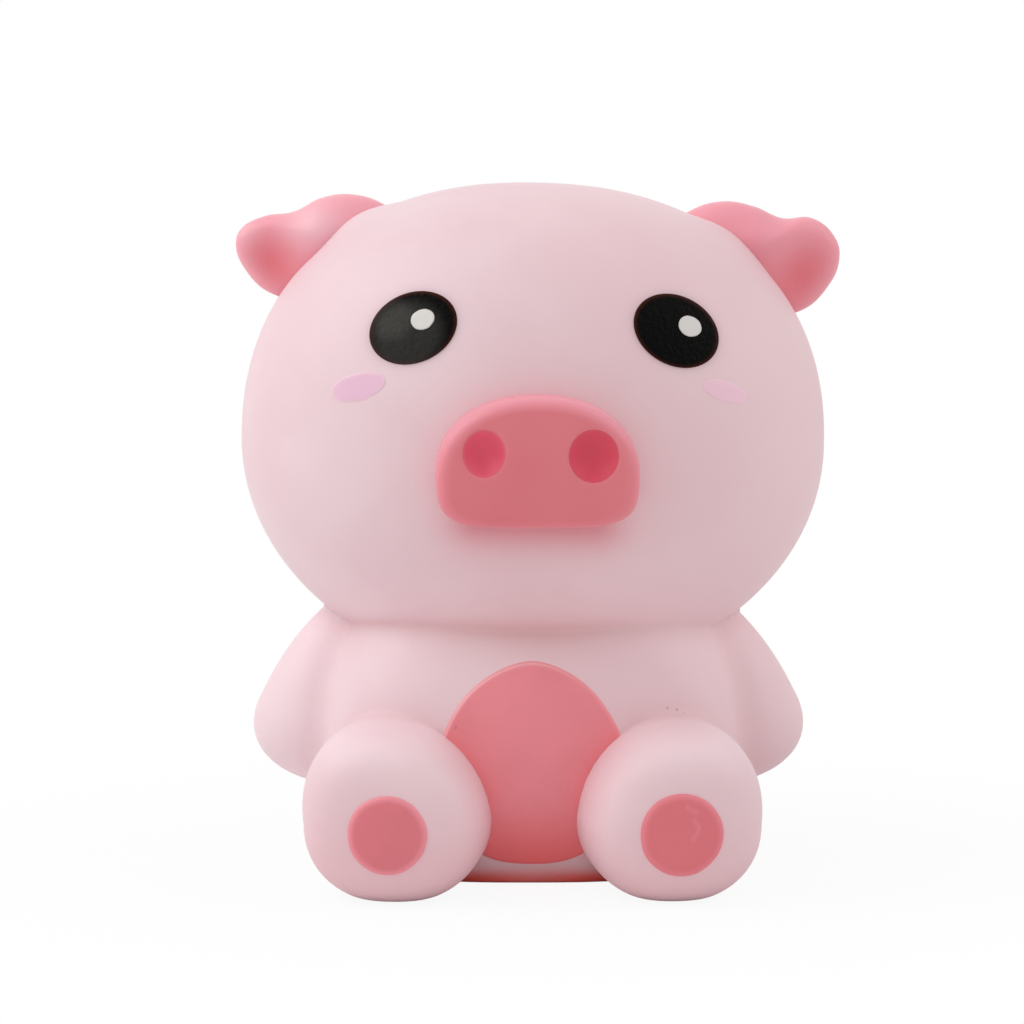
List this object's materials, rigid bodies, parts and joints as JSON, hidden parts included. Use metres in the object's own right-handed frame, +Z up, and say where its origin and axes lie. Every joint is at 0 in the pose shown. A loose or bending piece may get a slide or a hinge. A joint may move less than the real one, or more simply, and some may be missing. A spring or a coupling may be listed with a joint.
{
  "type": "pig squishy toy",
  "caption": "Seated piglet squeeze toy in slow-rising foam, with a wide head, flop ears, a disc snout and raised sole pads.",
  "frame": {"origin": "centre of the flat underside that the toy sits on", "axes": "+Z up, the toy faces -Y, its own left side is +X"},
  "size_m": [0.0984, 0.088, 0.1104],
  "materials": {
    "skin_foam": "matte pale pink foam skin",
    "coral_foam": "matte coral sprayed foam skin",
    "coral_paint": "satin coral flexible paint",
    "nostril_paint": "matte rose flexible paint",
    "eye_paint": "satin near-black flexible paint",
    "glint_paint": "satin off-white flexible paint",
    "blush_paint": "matte orchid flexible paint"
  },
  "bodies": {
    "root": {"body": "skin_foam", "head": "skin_foam", "left_arm": "skin_foam", "right_arm": "skin_foam", "left_leg": "skin_foam", "right_leg": "skin_foam", "left_ear": "coral_foam", "right_ear": "coral_foam", "snout": "coral_foam", "tail": "coral_foam", "belly_patch": "coral_paint", "left_foot_pad": "coral_paint", "right_foot_pad": "coral_paint", "left_nostril": "nostril_paint", "right_nostril": "nostril_paint", "left_eye": "eye_paint", "right_eye": "eye_paint", "left_eye_glint": "glint_paint", "right_eye_glint": "glint_paint", "left_blush": "blush_paint", "right_blush": "blush_paint"}
  },
  "joints": []
}
